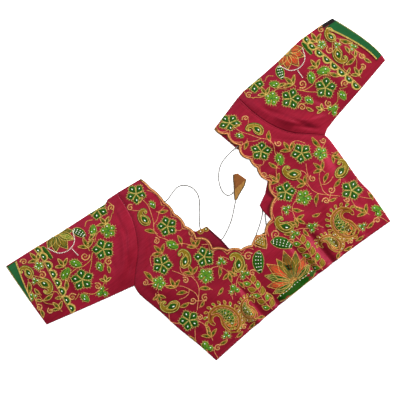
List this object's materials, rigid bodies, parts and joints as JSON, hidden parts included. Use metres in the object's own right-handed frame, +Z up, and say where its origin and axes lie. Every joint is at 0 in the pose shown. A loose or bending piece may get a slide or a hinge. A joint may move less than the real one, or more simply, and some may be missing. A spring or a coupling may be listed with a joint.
{
  "type": "blouse",
  "caption": "Short fitted blouse laid flat, back uppermost, with a deep scalloped neck, elbow sleeves pressed straight out, contrast cuff bands and tie cords with a tassel.",
  "frame": {"origin": "on the table under the middle of the laid garment", "axes": "+X along the hem to the right as seen, +Y from the hem to the neck, +Z up from the table"},
  "size_m": [0.8372, 0.3998, 0.0086],
  "materials": {
    "crimson_silk": "woven silk, soft sheen, thread embroidery on top",
    "green_silk": "woven silk, soft sheen",
    "gold_thread": "corded thread edging",
    "tie_cord": "thin twisted cord",
    "brocade": "folded brocade"
  },
  "bodies": {
    "root": {"back_panel": "crimson_silk", "front_left": "crimson_silk", "front_right": "crimson_silk", "sleeve_left": "crimson_silk", "sleeve_right": "crimson_silk", "cuff_band_left": "green_silk", "cuff_band_right": "green_silk", "neck_edging": "gold_thread", "tie_cord_left": "tie_cord", "tie_cord_right": "tie_cord", "tie_cord_loop": "tie_cord", "tassel": "brocade"}
  },
  "joints": []
}
